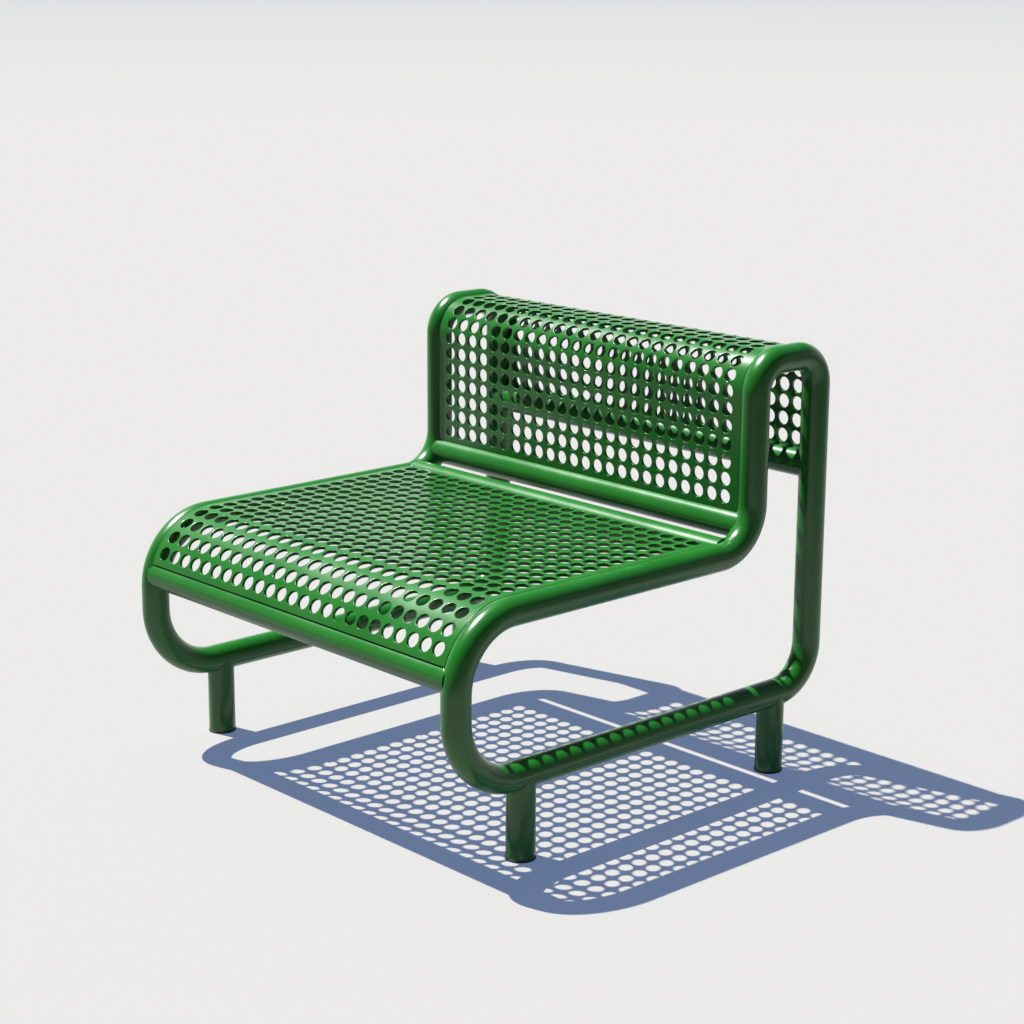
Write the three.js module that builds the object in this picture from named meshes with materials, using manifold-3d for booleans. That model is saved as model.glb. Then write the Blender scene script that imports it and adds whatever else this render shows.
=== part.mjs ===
// A low-backed outdoor seat module: two closed side frames of bent steel tube,
// four cross tubes, a perforated seat sheet that rolls down over the front, a
// perforated back sheet folded over the top, and four short foot tubes on caps.
// Millimetres, +Z up, the front faces -Y, and the origin is on the floor under the
// middle of the outer box. The two sheets are plain here, without their holes.
import * as THREE from 'three';
import { mergeVertices } from 'three/addons/utils/BufferGeometryUtils.js';
import Module from 'manifold-3d';

// ---------------------------------------------------------------- dimensions

const TUBE_RADIUS = 25;           // one tube size all over, 50 mm outside
const TUBE_WALL = 2.5;
const WELD_GAP = 0.3;             // clearance where one piece meets another
const TUBE_SIDES = 16;
const BEND_STEP = Math.PI / 16;   // angle between two rings of a bend

// side frame, measured to the tube's axis
const FRAME_X = 420;
const FRONT_Y = -426;
const REAR_Y = 426;
const BACK_Y = 266;               // the upright that carries the front of the back
const RAIL_Z = 148;
const SEAT_Z = 428.5;
const TOP_Z = 761;
const BEND = { frontLow: 122, waterfall: 118, seatToBack: 84, top: 55, rearLow: 82 };

// each side frame is two bent tubes, butt welded over an inner sleeve
const RAIL_JOINT_Y = 16;
const LEG_JOINT_Z = 330;
const SLEEVE_LENGTH = 100;
const SLEEVE_RADIUS = 22;

// sheets
const SHEET = 6;
const SEAT_RISE = 22.5;           // outer face of the seat sheet above the rail's axis
const SEAT_HALF_WIDTH = 400.9;
const SEAT_REAR_Y = 177.4;
const SEAT_ROLL = THREE.MathUtils.degToRad(68.4);
const BACK_RISE = 17;             // outer face of the back sheet outside the frame's axis
const BACK_HALF_WIDTH = 397.2;
const BACK_FRONT_EDGE_Z = 497;
const BACK_REAR_EDGE_Z = 580;
const ARC_SEGMENTS = 12;

// feet
const FOOT_Y = { front: -285, rear: 331.5 };
const CAP_RADIUS = 26;
const CAP_HEIGHT = 3.5;
const CAP_EDGE = 1.2;
const SPIGOT_RADIUS = 21.8;
const SPIGOT_TOP = 24;
const SPIGOT_LEAD = 1.5;

// hidden tabs that join the sheets to the side frames
const TAB = { width: 12, length: 24, thickness: 3 };
const ROW_STEP = 31.38;           // the tabs sit between two rows of the sheet's holes
const LAST_ROW_Y = 158.7;
const SEAT_TAB_Y = [1, 8, 15].map((rows) => LAST_ROW_Y - ROW_STEP * (rows - 0.5));
const NOSE_TAB_ANGLE = THREE.MathUtils.degToRad(37.8);
const BACK_TAB_Z = [533.4, 692.1];
const REAR_TAB_Z = 613.4;

const SIDES = { left: -1, right: 1 };

// ----------------------------------------------------------------- materials

const greenCoat = () => new THREE.MeshStandardMaterial({ color: 0x2c8a39, roughness: 0.35, metalness: 0 });
const bareSteel = () => new THREE.MeshStandardMaterial({ color: 0x8d9092, roughness: 0.5, metalness: 1 });
const blackPlastic = () => new THREE.MeshStandardMaterial({ color: 0x151716, roughness: 0.6, metalness: 0 });

// -------------------------------------------------------------- solid cutting

const wasm = await Module();
wasm.setup();

/** A closed three.js geometry as a solid that can be cut. */
function toSolid(geometry) {
  const bare = geometry.clone();
  bare.deleteAttribute('normal');
  bare.deleteAttribute('uv');
  const merged = mergeVertices(bare);
  return new wasm.Manifold(new wasm.Mesh({
    numProp: 3,
    vertProperties: merged.attributes.position.array,
    triVerts: new Uint32Array(merged.index.array),
  }));
}

/** The cut solid as a three.js geometry again. */
function toGeometry(solid) {
  const { vertProperties, triVerts } = solid.getMesh();
  const geometry = new THREE.BufferGeometry();
  geometry.setAttribute('position', new THREE.BufferAttribute(vertProperties, 3));
  geometry.setIndex(new THREE.BufferAttribute(triVerts, 1));
  geometry.computeVertexNormals();
  return geometry;
}

// ---------------------------------------------------------------- bent tubes

/** A path in the Y-Z plane: straight runs joined by round bends, known at its stations. */
class BentPath extends THREE.Curve {
  constructor(corners) {
    super();
    this.stations = bendStations(corners);
    this.steps = this.stations.length - 1;
  }

  getPointAt(u, target = new THREE.Vector3()) {
    return target.copy(this.stations[Math.round(u * this.steps)].point);
  }

  getTangentAt(u, target = new THREE.Vector3()) {
    return target.copy(this.stations[Math.round(u * this.steps)].tangent);
  }
}

/** The rings of a bent tube: its two ends, and every bend in equal steps. */
function bendStations(corners) {
  const points = corners.map(([y, z]) => new THREE.Vector3(0, y, z));
  const direction = (i) => points[i + 1].clone().sub(points[i]).normalize();
  const stations = [{ point: points[0], tangent: direction(0) }];
  for (let i = 1; i < corners.length - 1; i += 1) {
    const radius = corners[i][2];
    const before = direction(i - 1);
    const after = direction(i);
    const turn = before.angleTo(after);
    const inward = after.clone().addScaledVector(before, -before.dot(after)).normalize();
    const start = points[i].clone().addScaledVector(before, -radius * Math.tan(turn / 2));
    const centre = start.clone().addScaledVector(inward, radius);
    const rings = Math.round(turn / BEND_STEP);
    for (let ring = 0; ring <= rings; ring += 1) {
      const angle = (turn * ring) / rings;
      stations.push({
        point: centre.clone()
          .addScaledVector(inward, -radius * Math.cos(angle))
          .addScaledVector(before, radius * Math.sin(angle)),
        tangent: before.clone().multiplyScalar(Math.cos(angle)).addScaledVector(inward, Math.sin(angle)),
      });
    }
  }
  stations.push({ point: points.at(-1), tangent: direction(points.length - 2) });
  return stations;
}

/** A round section, hollow when an inner radius is given. */
function roundSection(outer, inner = 0) {
  const section = new THREE.Shape().absarc(0, 0, outer, 0, 2 * Math.PI, false);
  if (inner > 0) {
    section.holes.push(new THREE.Path().absarc(0, 0, inner, 0, 2 * Math.PI, true));
  }
  return section;
}

function bentTube(section, corners) {
  const path = new BentPath(corners);
  return new THREE.ExtrudeGeometry(section, {
    curveSegments: TUBE_SIDES / 2,
    steps: path.steps,
    extrudePath: path,
  });
}

/** A straight tube standing on z = 0. */
function straightTube(section, length) {
  return new THREE.ExtrudeGeometry(section, {
    curveSegments: TUBE_SIDES / 2,
    depth: length,
    bevelEnabled: false,
  });
}

const tubeSection = () => roundSection(TUBE_RADIUS, TUBE_RADIUS - TUBE_WALL);

// the bent stretch of a side frame, from the rail joint forward and up to the leg joint
const UPPER_BENDS = [
  [FRONT_Y, RAIL_Z, BEND.frontLow],
  [FRONT_Y, SEAT_Z, BEND.waterfall],
  [BACK_Y, SEAT_Z, BEND.seatToBack],
  [BACK_Y, TOP_Z, BEND.top],
  [REAR_Y, TOP_Z, BEND.top],
];
const REAR_BEND = [REAR_Y, RAIL_Z, BEND.rearLow];

/** The whole side frame as one solid, a little fat, which shapes the tubes that meet it. */
const frameEnvelope = bentTube(roundSection(TUBE_RADIUS + WELD_GAP), [
  [RAIL_JOINT_Y, RAIL_Z], ...UPPER_BENDS, REAR_BEND, [RAIL_JOINT_Y, RAIL_Z],
]);

/** Cuts saddle ends where a tube meets the side frames at the given x positions. */
function saddleCut(tube, frameXs) {
  const cut = frameXs.reduce(
    (solid, x) => solid.subtract(toSolid(frameEnvelope.clone().translate(x, 0, 0))),
    toSolid(tube),
  );
  return toGeometry(cut);
}

function frameTubeGeometry() {
  return bentTube(tubeSection(), [
    [RAIL_JOINT_Y - WELD_GAP, RAIL_Z], ...UPPER_BENDS, [REAR_Y, LEG_JOINT_Z],
  ]);
}

function rearElbowGeometry() {
  return bentTube(tubeSection(), [
    [REAR_Y, LEG_JOINT_Z - WELD_GAP], REAR_BEND, [RAIL_JOINT_Y, RAIL_Z],
  ]);
}

function sleeveGeometry() {
  return straightTube(roundSection(SLEEVE_RADIUS, SLEEVE_RADIUS - TUBE_WALL), SLEEVE_LENGTH)
    .translate(0, 0, -SLEEVE_LENGTH / 2);
}

// --------------------------------------------------------------- cross tubes

// where each tube's axis crosses the side frames' planes: (y, z)
const CROSS_TUBES = {
  front_cross_tube: [-424.5, 336],
  seat_rear_cross_tube: [199.6, 432.8],
  back_front_cross_tube: [257, 470.7],
  back_rear_cross_tube: [REAR_Y, 557],
};

function crossTubeGeometry(y, z) {
  const tube = straightTube(tubeSection(), 2 * FRAME_X)
    .translate(0, 0, -FRAME_X)
    .rotateY(Math.PI / 2)
    .translate(0, y, z);
  return saddleCut(tube, [-FRAME_X, FRAME_X]).translate(0, -y, -z);
}

// -------------------------------------------------------------------- sheets

// turns a profile drawn in (y, z) and extruded along its own third axis to run along x
const ACROSS = new THREE.Matrix4().makeBasis(
  new THREE.Vector3(0, 1, 0),
  new THREE.Vector3(0, 0, 1),
  new THREE.Vector3(1, 0, 0),
);

function sheetGeometry(profile, halfWidth) {
  return new THREE.ExtrudeGeometry(profile, {
    curveSegments: ARC_SEGMENTS / 2,
    depth: 2 * halfWidth,
    bevelEnabled: false,
  }).translate(0, 0, -halfWidth).applyMatrix4(ACROSS);
}

/** Flat from the rear edge forward, then rolled down over the front bend. */
function seatSheetGeometry() {
  const outer = BEND.waterfall + SEAT_RISE;
  const inner = outer - SHEET;
  const bendY = FRONT_Y + BEND.waterfall;
  const bendZ = SEAT_Z - BEND.waterfall;
  const top = Math.PI / 2;
  const profile = new THREE.Shape()
    .moveTo(SEAT_REAR_Y, bendZ + inner)
    .lineTo(SEAT_REAR_Y, bendZ + outer)
    .absarc(bendY, bendZ, outer, top, top + SEAT_ROLL, false)
    .absarc(bendY, bendZ, inner, top + SEAT_ROLL, top, true);
  return sheetGeometry(profile, SEAT_HALF_WIDTH);
}

/** Up the front of the back, over the top, and down the rear. */
function backSheetGeometry() {
  const outer = BEND.top + BACK_RISE;
  const inner = outer - SHEET;
  const bendZ = TOP_Z - BEND.top;
  const frontBendY = BACK_Y + BEND.top;
  const rearBendY = REAR_Y - BEND.top;
  const profile = new THREE.Shape()
    .moveTo(frontBendY - inner, BACK_FRONT_EDGE_Z)
    .absarc(frontBendY, bendZ, inner, Math.PI, Math.PI / 2, true)
    .absarc(rearBendY, bendZ, inner, Math.PI / 2, 0, true)
    .lineTo(rearBendY + inner, BACK_REAR_EDGE_Z)
    .lineTo(rearBendY + outer, BACK_REAR_EDGE_Z)
    .absarc(rearBendY, bendZ, outer, 0, Math.PI / 2, false)
    .absarc(frontBendY, bendZ, outer, Math.PI / 2, Math.PI, false)
    .lineTo(frontBendY - outer, BACK_FRONT_EDGE_Z);
  return sheetGeometry(profile, BACK_HALF_WIDTH);
}

// ---------------------------------------------------------------------- feet

function footTubeGeometry(footY) {
  const bottom = CAP_HEIGHT + WELD_GAP;
  const tube = straightTube(tubeSection(), RAIL_Z - bottom).translate(0, footY, bottom);
  return saddleCut(tube, [0]).translate(0, -footY, 0);
}

/** A plastic end cap: a flange on the floor and a plug inside the foot tube. */
function footCapGeometry() {
  const profile = [
    [0, 0],
    [CAP_RADIUS - CAP_EDGE, 0],
    [CAP_RADIUS, CAP_EDGE],
    [CAP_RADIUS, CAP_HEIGHT],
    [SPIGOT_RADIUS, CAP_HEIGHT],
    [SPIGOT_RADIUS, SPIGOT_TOP - SPIGOT_LEAD],
    [SPIGOT_RADIUS - SPIGOT_LEAD, SPIGOT_TOP],
    [0, SPIGOT_TOP],
  ].map(([radius, height]) => new THREE.Vector2(radius, height));
  return new THREE.LatheGeometry(profile, TUBE_SIDES).rotateX(Math.PI / 2);
}

// ---------------------------------------------------------------------- tabs

const tabGeometry = () => new THREE.BoxGeometry(TAB.width, TAB.length, TAB.thickness);

/** How far below the sheet's outer face the middle of a tab lies, on a flat stretch. */
const FLAT_DEPTH = SHEET + WELD_GAP + TAB.thickness / 2;

/** The same under the rolled front, where the flat tab touches the sheet only at its ends. */
function noseDepth() {
  const outer = BEND.waterfall + SEAT_RISE;
  const clear = outer - SHEET - 2 * WELD_GAP;
  return outer - Math.sqrt(clear ** 2 - (TAB.length / 2) ** 2) + TAB.thickness / 2;
}

/** How far inboard of the frame's axis a tab's middle is, when its edge meets the tube. */
function tabInboard(rise, depth) {
  const lowerFace = rise - depth - TAB.thickness / 2;
  return Math.sqrt(TUBE_RADIUS ** 2 - lowerFace ** 2) + WELD_GAP + TAB.width / 2;
}

/** Every tab of one side: its name, its place in the frame's plane and its turn about X. */
function tabPlaces() {
  const nose = {
    name: 'seat_tab_nose',
    inboard: tabInboard(SEAT_RISE, noseDepth()),
    y: FRONT_Y + BEND.waterfall - (BEND.waterfall + SEAT_RISE - noseDepth()) * Math.sin(NOSE_TAB_ANGLE),
    z: SEAT_Z - BEND.waterfall + (BEND.waterfall + SEAT_RISE - noseDepth()) * Math.cos(NOSE_TAB_ANGLE),
    turn: NOSE_TAB_ANGLE,
  };
  const seat = SEAT_TAB_Y.map((y, i) => ({
    name: `seat_tab_${i + 1}`,
    inboard: tabInboard(SEAT_RISE, FLAT_DEPTH),
    y,
    z: SEAT_Z + SEAT_RISE - FLAT_DEPTH,
    turn: 0,
  }));
  const inboard = tabInboard(BACK_RISE, FLAT_DEPTH);
  const back = BACK_TAB_Z.map((z, i) => ({
    name: `back_tab_${i + 1}`, inboard, y: BACK_Y - BACK_RISE + FLAT_DEPTH, z, turn: Math.PI / 2,
  }));
  const rear = {
    name: 'back_tab_rear', inboard, y: REAR_Y + BACK_RISE - FLAT_DEPTH, z: REAR_TAB_Z, turn: -Math.PI / 2,
  };
  return [nose, ...seat, ...back, rear];
}

// ------------------------------------------------------------------ assembly

function addPiece(parent, name, geometry, material, [x, y, z], turn = 0) {
  const piece = new THREE.Mesh(geometry, material);
  piece.name = name;
  piece.position.set(x, y, z);
  piece.rotation.x = turn;
  parent.add(piece);
}

/** One side frame with its sleeves, feet, caps and tabs, in a group at its own x. */
function sideFrame(side) {
  const frame = new THREE.Group();
  frame.position.x = SIDES[side] * FRAME_X;
  addPiece(frame, `frame_tube_${side}`, frameTubeGeometry(), greenCoat(), [0, 0, 0]);
  addPiece(frame, `rear_elbow_${side}`, rearElbowGeometry(), greenCoat(), [0, 0, 0]);
  addPiece(frame, `rail_sleeve_${side}`, sleeveGeometry(), bareSteel(), [0, RAIL_JOINT_Y, RAIL_Z], Math.PI / 2);
  addPiece(frame, `leg_sleeve_${side}`, sleeveGeometry(), bareSteel(), [0, REAR_Y, LEG_JOINT_Z]);
  for (const [end, footY] of Object.entries(FOOT_Y)) {
    addPiece(frame, `foot_tube_${end}_${side}`, footTubeGeometry(footY), greenCoat(), [0, footY, 0]);
    addPiece(frame, `foot_cap_${end}_${side}`, footCapGeometry(), blackPlastic(), [0, footY, 0]);
  }
  for (const { name, inboard, y, z, turn } of tabPlaces()) {
    addPiece(frame, `${name}_${side}`, tabGeometry(), greenCoat(), [-SIDES[side] * inboard, y, z], turn);
  }
  return frame;
}

const seatModule = new THREE.Group();
for (const side of Object.keys(SIDES)) {
  seatModule.add(sideFrame(side));
}
for (const [name, [y, z]] of Object.entries(CROSS_TUBES)) {
  addPiece(seatModule, name, crossTubeGeometry(y, z), greenCoat(), [0, y, z]);
}
addPiece(seatModule, 'seat_panel', seatSheetGeometry(), greenCoat(), [0, 0, 0]);
addPiece(seatModule, 'back_panel', backSheetGeometry(), greenCoat(), [0, 0, 0]);

export default seatModule;
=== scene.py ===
"""Low-back perforated metal bench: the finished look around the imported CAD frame.

Metres, +Z up, the front faces -Y. Every place comes from the CAD nodes' boxes and from
the same driving dimensions as the CAD model. Bent and straight tubes are rebuilt smooth
with welded saddle ends, the two sheets get their real holes, and every piece gets a
procedural material.
"""
import math

import bpy
from mathutils import Matrix, Vector


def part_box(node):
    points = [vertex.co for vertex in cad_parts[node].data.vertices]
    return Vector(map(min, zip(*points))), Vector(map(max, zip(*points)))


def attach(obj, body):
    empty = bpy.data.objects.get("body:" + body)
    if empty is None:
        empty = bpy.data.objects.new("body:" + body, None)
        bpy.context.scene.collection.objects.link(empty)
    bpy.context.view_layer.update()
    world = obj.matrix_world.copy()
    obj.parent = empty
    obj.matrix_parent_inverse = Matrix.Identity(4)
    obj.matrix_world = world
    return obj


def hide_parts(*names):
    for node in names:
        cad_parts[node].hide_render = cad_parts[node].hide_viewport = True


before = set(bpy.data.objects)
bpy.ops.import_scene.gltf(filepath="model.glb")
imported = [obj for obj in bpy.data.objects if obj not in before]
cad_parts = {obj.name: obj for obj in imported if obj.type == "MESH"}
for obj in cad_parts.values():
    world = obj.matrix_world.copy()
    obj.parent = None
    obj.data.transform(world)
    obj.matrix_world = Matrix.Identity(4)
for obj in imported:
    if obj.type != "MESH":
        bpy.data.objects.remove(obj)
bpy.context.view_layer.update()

MM = 0.001
SIDES = {"left": -1, "right": 1}

# ------------------------------------------------------------ driving dimensions

BEND_FRONT_LOW = 122 * MM        # bend radii of the side frame, to the tube's axis
BEND_WATERFALL = 118 * MM
BEND_SEAT_TO_BACK = 84 * MM
BEND_TOP = 55 * MM
BEND_REAR_LOW = 82 * MM

SHEET = 6 * MM
SEAT_ROLL = math.radians(69.5)   # how far the seat sheet rolls down over the front
SEAT_HALF_WIDTH = 407 * MM       # both sheets' sides are welded into the frames' tubes
BACK_HALF_WIDTH = 400.8 * MM
SEAT_HOLE_RADIUS = 13.1 * MM
BACK_HOLE_RADIUS = 12.7 * MM
RIM = 0.5 * MM                   # rounding of every hole's and sheet's edge

RING_STEP = math.radians(3)      # between two rings of a bend
TUBE_SIDES = 64
HOLE_SIDES = 32
SHARP_ANGLE = math.radians(40)
TINY = 0.01 * MM                 # a length too small to matter

# ------------------------------------------------- places read from the CAD frame


def middle(node):
    low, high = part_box(node)
    return (low + high) / 2


FOOT = {end: middle(f"foot_tube_{end}_right") for end in ("front", "rear")}
FRAME_X = FOOT["front"].x
foot_low, foot_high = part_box("foot_tube_front_right")
TUBE_RADIUS = (foot_high.x - foot_low.x) / 2
RAIL_Z = foot_high.z
FOOT_BOTTOM_Z = foot_low.z

frame_low, frame_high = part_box("frame_tube_right")
FRONT_Y = frame_low.y + TUBE_RADIUS
REAR_Y = frame_high.y - TUBE_RADIUS
TOP_Z = frame_high.z - TUBE_RADIUS

elbow_low, elbow_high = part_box("rear_elbow_right")
RAIL_JOINT_Y = elbow_low.y
LEG_JOINT_Z = elbow_high.z

seat_low, seat_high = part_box("seat_panel")
back_low, back_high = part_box("back_panel")
SEAT_RISE = 22.5 * MM
BACK_RISE = back_high.z - TOP_Z
SEAT_Z = seat_high.z - SEAT_RISE
BACK_Y = back_low.y + BACK_RISE

CROSS_TUBES = (
    "front_cross_tube",
    "seat_rear_cross_tube",
    "back_front_cross_tube",
    "back_rear_cross_tube",
)

# ------------------------------------------------------------------------ paths


class Path:
    """Straight runs joined by round bends in a plane; a point of it is (y, z)."""

    def __init__(self, corners):
        self.pieces = []
        points = [Vector(corner[:2]) for corner in corners]
        start = points[0]
        for i in range(1, len(corners) - 1):
            before = (points[i] - points[i - 1]).normalized()
            after = (points[i + 1] - points[i]).normalized()
            turn = before.angle(after)
            radius = corners[i][2]
            reach = radius * math.tan(turn / 2)
            bend_start = points[i] - before * reach
            inward = (after - before * before.dot(after)).normalized()
            self.pieces.append(("run", start, bend_start))
            self.pieces.append(("bend", bend_start + inward * radius, radius, -inward, before, turn))
            start = points[i] + after * reach
        self.pieces.append(("run", start, points[-1]))

    def stations(self, step=RING_STEP):
        """Every ring of a tube along the path: (point, direction)."""
        rings = []
        for piece in self.pieces:
            if piece[0] == "run":
                _, start, end = piece
                if (end - start).length > TINY:
                    direction = (end - start).normalized()
                    rings += [(start, direction), (end, direction)]
                continue
            _, centre, radius, outward, before, turn = piece
            count = max(1, round(turn / step))
            for i in range(count + 1):
                angle = turn * i / count
                spoke = outward * math.cos(angle) + before * math.sin(angle)
                along = before * math.cos(angle) - outward * math.sin(angle)
                rings.append((centre + spoke * radius, along))
        unique = [rings[0]]
        for ring in rings[1:]:
            if (ring[0] - unique[-1][0]).length > TINY:
                unique.append(ring)
        return unique

    def distance(self, point):
        """How far a point of the plane is from the path."""
        best = math.inf
        for piece in self.pieces:
            if piece[0] == "run":
                _, start, end = piece
                along = end - start
                share = max(0.0, min(1.0, (point - start).dot(along) / along.length_squared))
                best = min(best, (point - start - along * share).length)
                continue
            _, centre, radius, outward, before, turn = piece
            spoke = point - centre
            angle = math.atan2(spoke.dot(before), spoke.dot(outward))
            if 0 <= angle <= turn:
                best = min(best, abs(spoke.length - radius))
        return best


UPPER_CORNERS = [
    (FRONT_Y, RAIL_Z, BEND_FRONT_LOW),
    (FRONT_Y, SEAT_Z, BEND_WATERFALL),
    (BACK_Y, SEAT_Z, BEND_SEAT_TO_BACK),
    (BACK_Y, TOP_Z, BEND_TOP),
    (REAR_Y, TOP_Z, BEND_TOP),
]
REAR_CORNER = (REAR_Y, RAIL_Z, BEND_REAR_LOW)
FRAME_PATH = Path([(RAIL_JOINT_Y, RAIL_Z), *UPPER_CORNERS, (REAR_Y, LEG_JOINT_Z)])
ELBOW_PATH = Path([(REAR_Y, LEG_JOINT_Z), REAR_CORNER, (RAIL_JOINT_Y, RAIL_Z)])
LOOP_PATH = Path([(RAIL_JOINT_Y, RAIL_Z), *UPPER_CORNERS, REAR_CORNER, (RAIL_JOINT_Y, RAIL_Z)])

# ----------------------------------------------------------------- mesh helpers


def new_piece(name, vertices, faces, normals=None):
    mesh = bpy.data.meshes.new(name)
    mesh.from_pydata(vertices, [], faces)
    mesh.validate()
    mesh.update()
    mesh.shade_smooth()
    if normals:
        mesh.normals_split_custom_set_from_vertices(normals)
    else:
        mesh.set_sharp_from_angle(angle=SHARP_ANGLE)
    piece = bpy.data.objects.new(name, mesh)
    bpy.context.scene.collection.objects.link(piece)
    return piece


def skin(rings, closed_ends=True):
    """Vertices and faces of a closed skin through rings of equal length."""
    count = len(rings[0])
    vertices = [vertex for ring in rings for vertex in ring]
    faces = []
    for r in range(len(rings) - 1):
        for i in range(count):
            j = (i + 1) % count
            faces.append((r * count + i, r * count + j, (r + 1) * count + j, (r + 1) * count + i))
    if closed_ends:
        last = (len(rings) - 1) * count
        start_middle, end_middle = len(vertices), len(vertices) + 1
        vertices += [sum(ring, Vector()) / count for ring in (rings[0], rings[-1])]
        for i in range(count):
            j = (i + 1) % count
            faces.append((start_middle, j, i))
            faces.append((end_middle, last + i, last + j))
    return vertices, faces


def around(count):
    return [2 * math.pi * i / count for i in range(count)]


def add_finish(piece, slot, node):
    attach(piece, "root")
    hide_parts(node)
    piece.data.materials.append(MATERIALS[slot])


# -------------------------------------------------------------------- materials

# noises: the scale is in waves a metre
CLOUDS = {"Scale": 7.0, "Detail": 4.0, "Roughness": 0.6}
ORANGE_PEEL = {"Scale": 420.0, "Detail": 2.0, "Roughness": 0.5}
MILL_MARKS = {"Scale": 90.0, "Detail": 5.0}
DUST = {"Scale": 40.0, "Detail": 4.0}
GRAIN = {"Scale": 1500.0, "Detail": 2.0}
NOISE_STOPS = (0.35, 0.65)       # the part of a noise's range that a tone runs over
BUMP_HEIGHT = 0.2 * MM

COAT_TONES = ((0.0052, 0.087, 0.0072, 1), (0.0068, 0.099, 0.0088, 1))
COAT_ROUGHNESS = (0.22, 0.28)
COAT_SPECULAR = 0.5
COAT_BUMP = 0.12
STEEL_GREYS = (0.36, 0.48)
STEEL_ROUGHNESS = (0.38, 0.55)
PLASTIC_GREYS = (0.008, 0.016)
PLASTIC_ROUGHNESS = (0.5, 0.65)
PLASTIC_SPECULAR = 0.4
PLASTIC_BUMP = 0.2


def principled(name, **values):
    material = bpy.data.materials.new(name)
    material.use_nodes = True
    shader = material.node_tree.nodes["Principled BSDF"]
    for socket, value in values.items():
        shader.inputs[socket.replace("_", " ")].default_value = value
    return material, material.node_tree, shader


def add_node(tree, kind, **inputs):
    node = tree.nodes.new(kind)
    for socket, value in inputs.items():
        node.inputs[socket.replace("_", " ")].default_value = value
    return node


def noise(tree, settings):
    """A noise that is fixed to the object."""
    place = tree.nodes.new("ShaderNodeTexCoord").outputs["Object"]
    node = add_node(tree, "ShaderNodeTexNoise", **settings)
    tree.links.new(place, node.inputs["Vector"])
    return node.outputs["Fac"]


def ramp(tree, source, low, high, stops=NOISE_STOPS):
    """A colour that runs from low to high with its source."""
    node = tree.nodes.new("ShaderNodeValToRGB")
    node.color_ramp.elements[0].position, node.color_ramp.elements[1].position = stops
    node.color_ramp.elements[0].color = low
    node.color_ramp.elements[1].color = high
    tree.links.new(source, node.inputs["Fac"])
    return node.outputs["Color"]


def grey_ramp(tree, source, greys):
    low, high = ((value, value, value, 1) for value in greys)
    return ramp(tree, source, low, high)


def add_bump(tree, shader, height, strength):
    bump = add_node(tree, "ShaderNodeBump", Strength=strength, Distance=BUMP_HEIGHT)
    tree.links.new(height, bump.inputs["Height"])
    tree.links.new(bump.outputs["Normal"], shader.inputs["Normal"])


def green_coat():
    """Satin green powder coat: faint orange peel, faint unevenness of tone and gloss."""
    material, tree, shader = principled("green_powder_coat", Specular_IOR_Level=COAT_SPECULAR)
    clouds = noise(tree, CLOUDS)
    tree.links.new(ramp(tree, clouds, *COAT_TONES), shader.inputs["Base Color"])
    tree.links.new(grey_ramp(tree, clouds, COAT_ROUGHNESS), shader.inputs["Roughness"])
    add_bump(tree, shader, noise(tree, ORANGE_PEEL), COAT_BUMP)
    return material


def bare_steel():
    """Tube as it comes from the mill, with faint uneven marks."""
    material, tree, shader = principled("bare_steel", Metallic=1.0)
    marks = noise(tree, MILL_MARKS)
    tree.links.new(grey_ramp(tree, marks, STEEL_GREYS), shader.inputs["Base Color"])
    tree.links.new(grey_ramp(tree, marks, STEEL_ROUGHNESS), shader.inputs["Roughness"])
    return material


def black_plastic():
    """Moulded black plastic with a fine grain and dusty lighter patches."""
    material, tree, shader = principled("black_plastic", Specular_IOR_Level=PLASTIC_SPECULAR)
    dust = noise(tree, DUST)
    tree.links.new(grey_ramp(tree, dust, PLASTIC_GREYS), shader.inputs["Base Color"])
    tree.links.new(grey_ramp(tree, dust, PLASTIC_ROUGHNESS), shader.inputs["Roughness"])
    add_bump(tree, shader, noise(tree, GRAIN), PLASTIC_BUMP)
    return material


MATERIALS = {
    "green_coat": green_coat(),
    "bare_steel": bare_steel(),
    "black_plastic": black_plastic(),
}

# ------------------------------------------------------------------ side frames


def bent_tube(name, path, x):
    rings = []
    for point, along in path.stations():
        across = Vector((0, -along.y, along.x))
        centre = Vector((x, point.x, point.y))
        rings.append([
            centre + (Vector((1, 0, 0)) * math.cos(angle) + across * math.sin(angle)) * TUBE_RADIUS
            for angle in around(TUBE_SIDES)
        ])
    vertices, faces = skin(rings)
    return new_piece(name, vertices, faces)


# ---------------------------------------------------------------- straight tubes

WELD_RADIUS = 1.6 * MM           # the bead along a saddle where the tubes meet square on
WELD_LEAST = 0.1                 # what is left of the bead where they only touch
WELD_SIDES = 10
TUBE_BITE = 1.0 * MM             # how far a saddle end reaches under the bead
SADDLE_LIMIT = 0.96 * TUBE_RADIUS   # past this the saddle stays short of the frame's middle
HALVINGS = 30                    # steps in finding where a foot tube meets the rail


def saddle_reach(point):
    """How far short of the side frame's plane its surface is, at a point of that plane."""
    distance = min(LOOP_PATH.distance(point), SADDLE_LIMIT)
    return math.sqrt(TUBE_RADIUS ** 2 - distance ** 2)


def frame_normal(x, y, z, side):
    """The outward normal of a side frame's tube at a point on it."""
    here = LOOP_PATH.distance(Vector((y, z)))
    slope_y = (LOOP_PATH.distance(Vector((y + TINY, z))) - here) / TINY
    slope_z = (LOOP_PATH.distance(Vector((y, z + TINY))) - here) / TINY
    return Vector((x - side * FRAME_X, slope_y * here, slope_z * here)).normalized()


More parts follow.
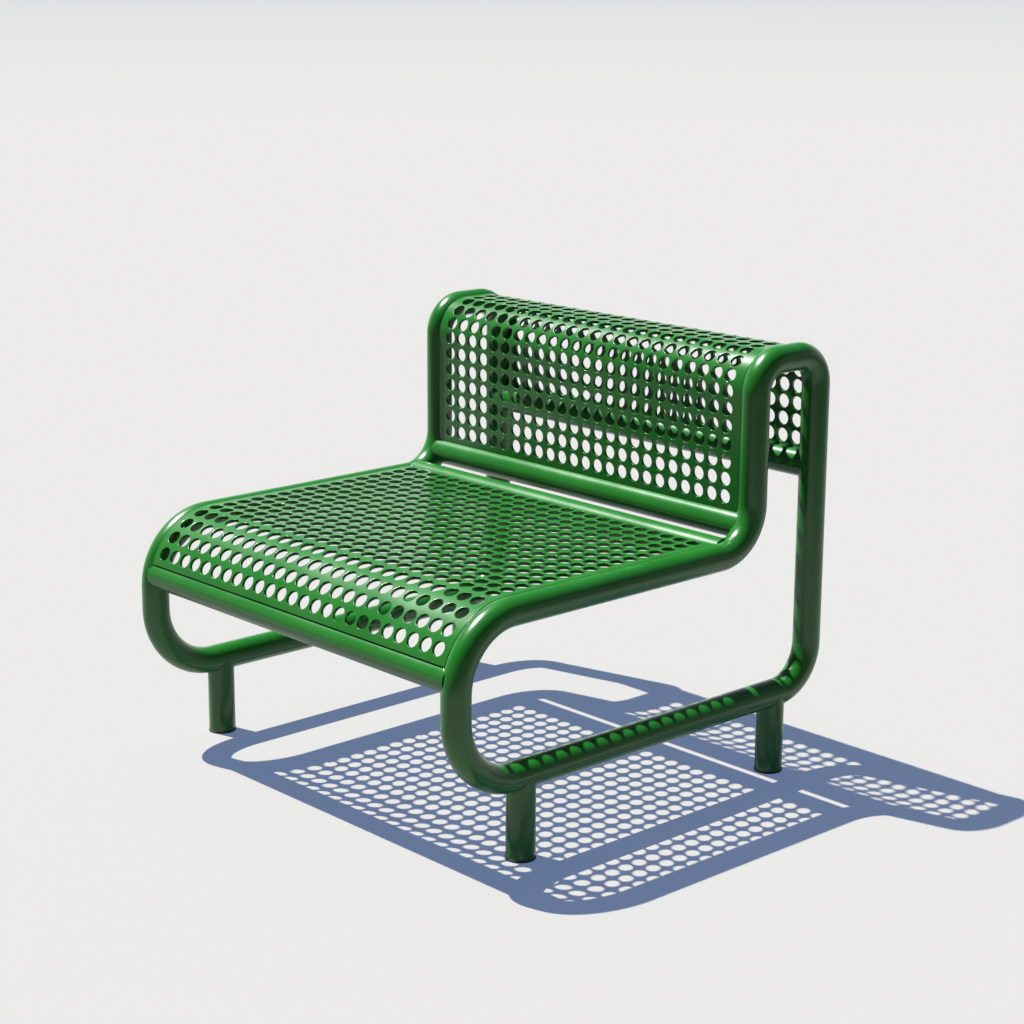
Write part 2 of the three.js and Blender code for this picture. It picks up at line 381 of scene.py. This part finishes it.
def weld_bead(curve):
    """A closed bead along a curve of (point, normal of one tube, normal of the other)."""
    rings = []
    count = len(curve)
    for i, (point, one, other) in enumerate(curve):
        along = (curve[(i + 1) % count][0] - curve[i - 1][0]).normalized()
        sharp = one.cross(other).length
        radius = WELD_RADIUS * (WELD_LEAST + (1 - WELD_LEAST) * sharp)
        outward = (one + other).normalized()
        side = along.cross(outward).normalized()
        rings.append([
            point + (outward * math.cos(angle) + side * math.sin(angle)) * radius
            for angle in around(WELD_SIDES)
        ])
    vertices, faces = skin(rings, closed_ends=False)
    last = (count - 1) * WELD_SIDES
    for i in range(WELD_SIDES):
        j = (i + 1) % WELD_SIDES
        faces.append((last + i, last + j, j, i))
    return vertices, faces


def merged(name, parts):
    vertices, faces = [], []
    for part_vertices, part_faces in parts:
        start = len(vertices)
        vertices += part_vertices
        faces += [tuple(start + v for v in face) for face in part_faces]
    return new_piece(name, vertices, faces)


def cross_tube(name):
    centre = middle(name)
    ends = {side: [] for side in SIDES.values()}
    beads = {side: [] for side in SIDES.values()}
    for angle in around(TUBE_SIDES):
        normal = Vector((0, math.cos(angle), math.sin(angle)))
        y, z = centre.y + normal.y * TUBE_RADIUS, centre.z + normal.z * TUBE_RADIUS
        reach = saddle_reach(Vector((y, z)))
        for side in SIDES.values():
            x = side * (FRAME_X - reach)
            ends[side].append(Vector((x + side * TUBE_BITE, y, z)))
            beads[side].append((Vector((x, y, z)), normal, frame_normal(x, y, z, side)))
    parts = [skin([ends[-1], ends[1]])] + [weld_bead(bead) for bead in beads.values()]
    return merged(f"{name}_smooth", parts)


def rail_underside(y, distance):
    """The height under the rail's axis that is this far from the frame's path, at a given y."""
    low, high = RAIL_Z - TUBE_RADIUS * 2, RAIL_Z
    for _ in range(HALVINGS):
        z = (low + high) / 2
        if LOOP_PATH.distance(Vector((y, z))) > distance:
            low = z
        else:
            high = z
    return z


def foot_tube(name, side):
    centre = middle(name)
    bottom, top, bead = [], [], []
    for angle in around(TUBE_SIDES):
        normal = Vector((math.cos(angle), math.sin(angle), 0))
        x, y = centre.x + normal.x * TUBE_RADIUS, centre.y + normal.y * TUBE_RADIUS
        z = rail_underside(y, math.sqrt(max(0.0, TUBE_RADIUS ** 2 - (normal.x * TUBE_RADIUS) ** 2)))
        bottom.append(Vector((x, y, FOOT_BOTTOM_Z)))
        top.append(Vector((x, y, z + TUBE_BITE)))
        bead.append((Vector((x, y, z)), normal, frame_normal(x, y, z, side)))
    return merged(f"{name}_smooth", [skin([bottom, top]), weld_bead(bead)])


# ------------------------------------------------------------------------- caps

CAP_LOWER_EDGE = 1.2 * MM        # rounding of a cap's edges
CAP_UPPER_EDGE = 0.4 * MM
CAP_EDGE_ANGLES = [math.radians(a) for a in (0, 22.5, 45, 67.5, 90)]


def turned(name, profile, centre):
    """A body with flat ends, turned about a vertical axis from (radius, height) pairs."""
    rings = [
        [
            centre + Vector((radius * math.cos(angle), radius * math.sin(angle), height))
            for angle in around(TUBE_SIDES)
        ]
        for radius, height in profile
    ]
    vertices, faces = skin(rings)
    return new_piece(name, vertices, faces)


def foot_cap(name):
    low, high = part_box(name)
    centre = (low + high) / 2
    centre.z = low.z
    radius = (high.x - low.x) / 2
    top = FOOT_BOTTOM_Z - low.z
    lower = [
        (radius - CAP_LOWER_EDGE * (1 - math.sin(angle)), CAP_LOWER_EDGE * (1 - math.cos(angle)))
        for angle in CAP_EDGE_ANGLES
    ]
    upper = [
        (radius - CAP_UPPER_EDGE * (1 - math.cos(angle)), top - CAP_UPPER_EDGE * (1 - math.sin(angle)))
        for angle in CAP_EDGE_ANGLES
    ]
    return turned(f"{name}_moulded", lower + upper, centre)


# ------------------------------------------------------------- perforated sheets

VERTEX_STEPS = 1e7               # a metre's steps: points in the same step are one vertex
OUTLINE_START = 225              # where a cell's outline starts, in degrees round its hole


class Profile:
    """A sheet's outer face in the Y-Z plane, by arc length: (point, outward normal)."""

    def __init__(self, start, heading, steps):
        """steps are lengths of straight sheet, or (radius, angle) of a bend towards the inside."""
        self.spans = []
        self.length = 0.0
        point, along = Vector(start), Vector(heading)
        for step in steps:
            if isinstance(step, tuple):
                radius, angle = step
                inward = Vector((along.y, -along.x))
                span = radius * angle
                self.spans.append((self.length, span, "bend", point.copy(), along.copy(), radius))
                centre = point + inward * radius
                point = centre - inward * radius * math.cos(angle) + along * radius * math.sin(angle)
                along = along * math.cos(angle) + inward * math.sin(angle)
                self.length += span
            else:
                self.spans.append((self.length, step, "run", point.copy(), along.copy(), None))
                point = point + along * step
                self.length += step

    def at(self, place):
        """The point at a length along the sheet, with its outward normal and heading."""
        reached = [span for span in self.spans if place <= span[0] + span[1]]
        begin, _, kind, point, along, radius = reached[0] if reached else self.spans[-1]
        rest = place - begin
        outward = Vector((-along.y, along.x))
        if kind == "run":
            return point + along * rest, outward, along
        angle = rest / radius
        centre = point - outward * radius
        spoke = outward * math.cos(angle) + along * math.sin(angle)
        heading = along * math.cos(angle) - outward * math.sin(angle)
        return centre + spoke * radius, spoke, heading


class SheetMesh:
    """Collects the vertices and faces of one sheet in (place, x, depth)."""

    def __init__(self, profile):
        self.profile = profile
        self.index = {}
        self.vertices = []
        self.normals = []
        self.faces = []

    def vertex(self, place, x, depth, lean_place=0.0, lean_x=0.0, lift=0.0):
        """A vertex and its normal: lift is along the sheet's own normal, the leans along the sheet."""
        key = tuple(round(value * VERTEX_STEPS) for value in (place, x, depth))
        if key in self.index:
            return self.index[key]
        point, outward, along = self.profile.at(place)
        y, z = point - outward * depth
        across = Vector((0, outward.x, outward.y)) * lift + Vector((0, along.x, along.y)) * lean_place
        self.index[key] = len(self.vertices)
        self.vertices.append(Vector((x, y, z)))
        self.normals.append((across + Vector((lean_x, 0, 0))).normalized())
        return self.index[key]

    def strip(self, one, other, closed=True):
        count = len(one)
        for i in range(count if closed else count - 1):
            j = (i + 1) % count
            self.faces.append((one[i], one[j], other[j], other[i]))


def side_shares():
    """Places along a cell's side, at equal angles seen from the middle of a square cell."""
    per_side = HOLE_SIDES // 4
    return [(1 + math.tan(math.radians(-45 + 90 * i / per_side))) / 2 for i in range(per_side)]


SIDE_SHARES = side_shares()


def cell_outline(low, high):
    """Points round a rectangle, HOLE_SIDES of them, with the same shares along every side."""
    (p0, x0), (p1, x1) = low, high
    corners = [(p0, x0), (p0, x1), (p1, x1), (p1, x0)]
    outline = []
    for side in range(4):
        (pa, xa), (pb, xb) = corners[side], corners[(side + 1) % 4]
        outline += [(pa + (pb - pa) * share, xa + (xb - xa) * share) for share in SIDE_SHARES]
    return outline


def hole_ring(centre, radius):
    """The points of a hole that match cell_outline, with the direction from its middle."""
    ring = []
    for i in range(HOLE_SIDES):
        angle = math.radians(OUTLINE_START - 360 * i / HOLE_SIDES)
        toward_place, toward_x = math.cos(angle), math.sin(angle)
        place = centre[0] + radius * toward_place
        x = centre[1] + radius * toward_x
        ring.append((place, x, toward_place, toward_x))
    return ring


def add_cell(sheet, low, high, centre, radius):
    """One hole and the rectangle of sheet around it, through the whole thickness."""
    outline = cell_outline(low, high)
    rim = hole_ring(centre, radius + RIM)
    wall = hole_ring(centre, radius)
    outer = [sheet.vertex(p, x, 0, lift=1) for p, x in outline]
    outer_rim = [sheet.vertex(p, x, 0, lift=1) for p, x, _, _ in rim]
    wall_top = [sheet.vertex(p, x, RIM, -tp, -tx) for p, x, tp, tx in wall]
    wall_end = [sheet.vertex(p, x, SHEET - RIM, -tp, -tx) for p, x, tp, tx in wall]
    inner_rim = [sheet.vertex(p, x, SHEET, lift=-1) for p, x, _, _ in rim]
    inner = [sheet.vertex(p, x, SHEET, lift=-1) for p, x in outline]
    rings = [outer, outer_rim, wall_top, wall_end, inner_rim, inner]
    for one, other in zip(rings, rings[1:]):
        sheet.strip(one, other)


def middles(values, first, last):
    """Cell borders: the two outer edges, and half way between neighbouring rows."""
    return [first] + [(a + b) / 2 for a, b in zip(values, values[1:])] + [last]


def add_edge(sheet, border, lean):
    """The rounded edge along a border: outer face, edge, inner face."""
    place_step, x_step = lean
    beyond = [(p + place_step * RIM, x + x_step * RIM) for p, x in border]
    outer = [sheet.vertex(p, x, 0, lift=1) for p, x in border]
    top = [sheet.vertex(p, x, RIM, place_step, x_step) for p, x in beyond]
    end = [sheet.vertex(p, x, SHEET - RIM, place_step, x_step) for p, x in beyond]
    inner = [sheet.vertex(p, x, SHEET, lift=-1) for p, x in border]
    for one, other in ((top, outer), (end, top), (inner, end)):
        sheet.strip(one, other, closed=False)
    return top, end


def perforated_sheet(name, profile, rows, columns, half_width, radius):
    """A sheet with a hole at every row and column."""
    sheet = SheetMesh(profile)
    row_borders = middles(rows, RIM, profile.length - RIM)
    column_borders = middles(columns, RIM - half_width, half_width - RIM)
    for r, place in enumerate(rows):
        for c, x in enumerate(columns):
            low = (row_borders[r], column_borders[c])
            high = (row_borders[r + 1], column_borders[c + 1])
            add_cell(sheet, low, high, (place, x), radius)
    add_sheet_edges(sheet, row_borders, column_borders)
    return new_piece(name, sheet.vertices, sheet.faces, sheet.normals)


def side_points(borders):
    """Every vertex along one side of the sheet, cell after cell."""
    points = [a + (b - a) * share for a, b in zip(borders, borders[1:]) for share in SIDE_SHARES]
    return points + [borders[-1]]


def add_sheet_edges(sheet, row_borders, column_borders):
    places, across = side_points(row_borders), side_points(column_borders)
    first, last = row_borders[0], row_borders[-1]
    left, right = column_borders[0], column_borders[-1]
    edges = [
        ([(first, x) for x in across], (-1, 0)),
        ([(p, right) for p in places], (0, 1)),
        ([(last, x) for x in reversed(across)], (1, 0)),
        ([(p, left) for p in reversed(places)], (0, -1)),
    ]
    sides = [add_edge(sheet, border, lean) for border, lean in edges]
    for i, (border, _) in enumerate(edges):
        top, end = sides[i]
        next_top, next_end = sides[(i + 1) % 4]
        p, x = border[-1]
        outer = sheet.vertex(p, x, 0, lift=1)
        inner = sheet.vertex(p, x, SHEET, lift=-1)
        sheet.faces.append((outer, top[-1], next_top[0]))
        sheet.faces.append((top[-1], end[-1], next_end[0], next_top[0]))
        sheet.faces.append((end[-1], inner, next_end[0]))


# seat: rolled down over the front, then flat to the rear
SEAT_COLUMNS = 25
SEAT_PITCH = 31.75 * MM
SEAT_FLAT_ROWS = 16
SEAT_ROW_STEP = 31.38 * MM
SEAT_LAST_ROW = 18.7 * MM        # from the rear edge
ROLL_ROW_ANGLES = [math.radians(a) for a in (59.3, 45.0, 30.4, 15.8)]

SEAT_OUTER = BEND_WATERFALL + SEAT_RISE


def centred(count, pitch):
    return [(i - (count - 1) / 2) * pitch for i in range(count)]


def seat_sheet():
    bend_y = FRONT_Y + BEND_WATERFALL
    bend_z = SEAT_Z - BEND_WATERFALL
    start = (bend_y - SEAT_OUTER * math.sin(SEAT_ROLL), bend_z + SEAT_OUTER * math.cos(SEAT_ROLL))
    heading = (math.cos(SEAT_ROLL), math.sin(SEAT_ROLL))
    flat = seat_high.y - bend_y
    profile = Profile(start, heading, [(SEAT_OUTER, SEAT_ROLL), flat])
    rows = [(SEAT_ROLL - angle) * SEAT_OUTER for angle in ROLL_ROW_ANGLES]
    last = profile.length - SEAT_LAST_ROW
    rows += [last - i * SEAT_ROW_STEP for i in reversed(range(SEAT_FLAT_ROWS))]
    columns = centred(SEAT_COLUMNS, SEAT_PITCH)
    return perforated_sheet("seat_sheet", profile, rows, columns, SEAT_HALF_WIDTH, SEAT_HOLE_RADIUS)


# back: up the front, over the top and down the rear
BACK_COLUMNS = 24
BACK_PITCH = 32.0 * MM
BACK_FIRST_ROW = 22.5 * MM       # from the lower front edge
BACK_ROW_STEP = 31.5 * MM
BACK_FRONT_ROWS = 7
TOP_FRONT_ANGLES = [math.radians(a) for a in (23.5, 47.0, 70.5)]
TOP_ROWS = (5.5 * MM, 36.9 * MM)   # behind the front top bend's centre
TOP_REAR_ANGLES = [math.radians(a) for a in (11.6, 33.7, 55.7, 77.7)]
BACK_LAST_ROW = 18.3 * MM        # from the lower rear edge
BACK_REAR_ROWS = 4
# both lower edges reach just into the tubes below, where they are welded
BACK_FRONT_EDGE_Z = 495.2 * MM
BACK_REAR_EDGE_Z = 579 * MM
BACK_OUTER = BEND_TOP + BACK_RISE


def back_sheet():
    bend_z = TOP_Z - BEND_TOP
    quarter = math.pi / 2
    front = bend_z - BACK_FRONT_EDGE_Z
    top = REAR_Y - BACK_Y - 2 * BEND_TOP
    rear = bend_z - BACK_REAR_EDGE_Z
    start = (back_low.y, BACK_FRONT_EDGE_Z)
    profile = Profile(start, (0, 1), [front, (BACK_OUTER, quarter), top, (BACK_OUTER, quarter), rear])
    over = front + BACK_OUTER * quarter
    down = over + top
    rows = [BACK_FIRST_ROW + i * BACK_ROW_STEP for i in range(BACK_FRONT_ROWS)]
    rows += [front + BACK_OUTER * angle for angle in TOP_FRONT_ANGLES]
    rows += [over + step for step in TOP_ROWS]
    rows += [down + BACK_OUTER * angle for angle in TOP_REAR_ANGLES]
    last = profile.length - BACK_LAST_ROW
    rows += [last - i * BACK_ROW_STEP for i in reversed(range(BACK_REAR_ROWS))]
    columns = centred(BACK_COLUMNS, BACK_PITCH)
    return perforated_sheet("back_sheet", profile, rows, columns, BACK_HALF_WIDTH, BACK_HOLE_RADIUS)


# -------------------------------------------------------------- tabs and sleeves

TABS = (
    "seat_tab_nose",
    "seat_tab_1",
    "seat_tab_2",
    "seat_tab_3",
    "back_tab_1",
    "back_tab_2",
    "back_tab_rear",
)
SLEEVES = ("rail_sleeve", "leg_sleeve")


# --------------------------------------------------------------------- assembly


BENT_TUBES = {"frame_tube": FRAME_PATH, "rear_elbow": ELBOW_PATH}


def build():
    for side, sign in SIDES.items():
        for kind, path in BENT_TUBES.items():
            name = f"{kind}_{side}"
            add_finish(bent_tube(f"{name}_smooth", path, sign * FRAME_X), "green_coat", name)
        for end in FOOT:
            tube, cap = f"foot_tube_{end}_{side}", f"foot_cap_{end}_{side}"
            add_finish(foot_tube(tube, sign), "green_coat", tube)
            add_finish(foot_cap(cap), "black_plastic", cap)
    for name in CROSS_TUBES:
        add_finish(cross_tube(name), "green_coat", name)
    add_finish(seat_sheet(), "green_coat", "seat_panel")
    add_finish(back_sheet(), "green_coat", "back_panel")


def finish_cad_nodes():
    for side in SIDES:
        for tab in TABS:
            set_material(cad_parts[f"{tab}_{side}"], "green_coat")
        for sleeve in SLEEVES:
            set_material(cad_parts[f"{sleeve}_{side}"], "bare_steel")


def set_material(node, slot):
    node.data.materials.clear()
    node.data.materials.append(MATERIALS[slot])


build()
finish_cad_nodes()

# ------------------------------------------------------- floor, light and camera

CAMERA_AZIMUTH = math.radians(47.3534)
CAMERA_ELEVATION = math.radians(14.1158)
CAMERA_ROLL = math.radians(0.2973)
CAMERA_PLACE = Vector((2.96098, -2.64846, 1.46051))
CAMERA_LENS = 79.297

CAMERA_SENSOR = 36
CAMERA_REACH = 500

FLOOR_SIZE = 600.0
# painted falloff of light: the floor's colour darkens with distance from the bench; and a painted
# glow, light the floor gives off itself, that lifts the shadows to a pale blue
FLOOR_FALLOFF_TONES = ((15.0, (0.193, 0.177, 0.139, 1)), (60.0, (0.168, 0.155, 0.121, 1)))
FLOOR_PAINTED_GLOW = (0.106, 0.157, 0.290, 1)
FLOOR_ROUGHNESS = 0.9
# painted pool of light: the floor's colour and glow fade between these distances, to the front and
# right, to this much of their full amount
FLOOR_PAINTED_POOL = (1.45, 3.0)
FLOOR_PAINTED_DIM = 0.28

SUN_SLOPE = Vector((-0.553, -0.143, 1.0))
SUN_STRENGTH = 13.1
SUN_WIDTH = math.radians(0.5)

# the sky's tone by height; it fades to the front and right too
SKY_TONES = ((0.25, (0.95, 0.96, 0.97, 1)), (0.5, (0.16, 0.20, 0.27, 1)))
SKY_SIDE = (0.1, 0.7)
SKY_DIM = 0.25


def facing(tree, place):
    """How far a point or direction lies to the front or to the right, whichever is more."""
    split = tree.nodes.new("ShaderNodeSeparateXYZ")
    tree.links.new(place, split.inputs["Vector"])
    front = tree.nodes.new("ShaderNodeMath")
    front.operation = "MULTIPLY"
    front.inputs[1].default_value = -1.0
    tree.links.new(split.outputs["Y"], front.inputs[0])
    more = tree.nodes.new("ShaderNodeMath")
    more.operation = "MAXIMUM"
    tree.links.new(front.outputs["Value"], more.inputs[0])
    tree.links.new(split.outputs["X"], more.inputs[1])
    return more.outputs["Value"]


def fade(tree, value, reach, rest):
    """1 up to the start of the reach, then down to the rest at its end."""
    start, end = reach
    node = add_node(tree, "ShaderNodeMapRange", From_Min=start, From_Max=end, To_Min=1.0, To_Max=rest)
    tree.links.new(value, node.inputs["Value"])
    return node.outputs["Result"]


def scaled(tree, colour, factor):
    node = tree.nodes.new("ShaderNodeVectorMath")
    node.operation = "SCALE"
    tree.links.new(colour, node.inputs[0])
    tree.links.new(factor, node.inputs["Scale"])
    return node.outputs["Vector"]


def make_floor():
    half = FLOOR_SIZE / 2
    corners = [(-half, -half, 0), (half, -half, 0), (half, half, 0), (-half, half, 0)]
    floor = new_piece("floor", [Vector(c) for c in corners], [(0, 1, 2, 3)])
    material, tree, shader = principled(
        "pale_floor", Roughness=FLOOR_ROUGHNESS, Specular_IOR_Level=0.0, Emission_Color=FLOOR_PAINTED_GLOW,
    )
    place = tree.nodes.new("ShaderNodeTexCoord").outputs["Object"]
    distance = tree.nodes.new("ShaderNodeVectorMath")
    distance.operation = "LENGTH"
    tree.links.new(place, distance.inputs[0])
    # painted falloff of light: the floor's colour darkens from near to far
    (near, near_tone), (far, far_tone) = FLOOR_FALLOFF_TONES
    share = add_node(tree, "ShaderNodeMapRange", From_Min=near, From_Max=far)
    tree.links.new(distance.outputs["Value"], share.inputs["Value"])
    tone = ramp(tree, share.outputs["Result"], near_tone, far_tone, (0.0, 1.0))
    # painted pool of light: the floor is darker to the front and right of the bench
    painted_pool = fade(tree, facing(tree, place), FLOOR_PAINTED_POOL, FLOOR_PAINTED_DIM)
    # painted glow: the floor's own emission, faded with the painted pool of light
    tree.links.new(painted_pool, shader.inputs["Emission Strength"])
    tree.links.new(scaled(tree, tone, painted_pool), shader.inputs["Base Color"])
    floor.data.materials.append(material)


def make_sky():
    """Pale round the horizon and blue overhead."""
    world = bpy.data.worlds.new("studio")
    world.use_nodes = True
    tree = world.node_tree
    direction = tree.nodes.new("ShaderNodeTexCoord").outputs["Generated"]
    split = tree.nodes.new("ShaderNodeSeparateXYZ")
    tree.links.new(direction, split.inputs["Vector"])
    (low, low_tone), (high, high_tone) = SKY_TONES
    tone = ramp(tree, split.outputs["Z"], low_tone, high_tone, (low, high))
    side = fade(tree, facing(tree, direction), SKY_SIDE, SKY_DIM)
    tree.links.new(scaled(tree, tone, side), tree.nodes["Background"].inputs["Color"])
    bpy.context.scene.world = world


def make_sun():
    light = bpy.data.lights.new("sun", "SUN")
    light.energy = SUN_STRENGTH
    light.angle = SUN_WIDTH
    lamp = bpy.data.objects.new("sun", light)
    lamp.rotation_euler = SUN_SLOPE.to_track_quat("Z", "Y").to_euler()
    bpy.context.scene.collection.objects.link(lamp)


def make_camera():
    away = Vector((
        math.sin(CAMERA_AZIMUTH) * math.cos(CAMERA_ELEVATION),
        -math.cos(CAMERA_AZIMUTH) * math.cos(CAMERA_ELEVATION),
        math.sin(CAMERA_ELEVATION),
    ))
    right = Vector((0, 0, 1)).cross(away).normalized()
    up = away.cross(right)
    turn = Matrix((right, up, away)).transposed() @ Matrix.Rotation(CAMERA_ROLL, 3, "Z")
    data = bpy.data.cameras.new("camera")
    data.lens = CAMERA_LENS
    data.sensor_width = CAMERA_SENSOR
    data.clip_end = CAMERA_REACH
    camera = bpy.data.objects.new("camera", data)
    camera.matrix_world = Matrix.Translation(CAMERA_PLACE) @ turn.to_4x4()
    bpy.context.scene.collection.objects.link(camera)
    bpy.context.scene.camera = camera


make_floor()
make_sky()
make_sun()
make_camera()
bpy.context.scene.view_settings.view_transform = "Standard"

bpy.context.view_layer.update()
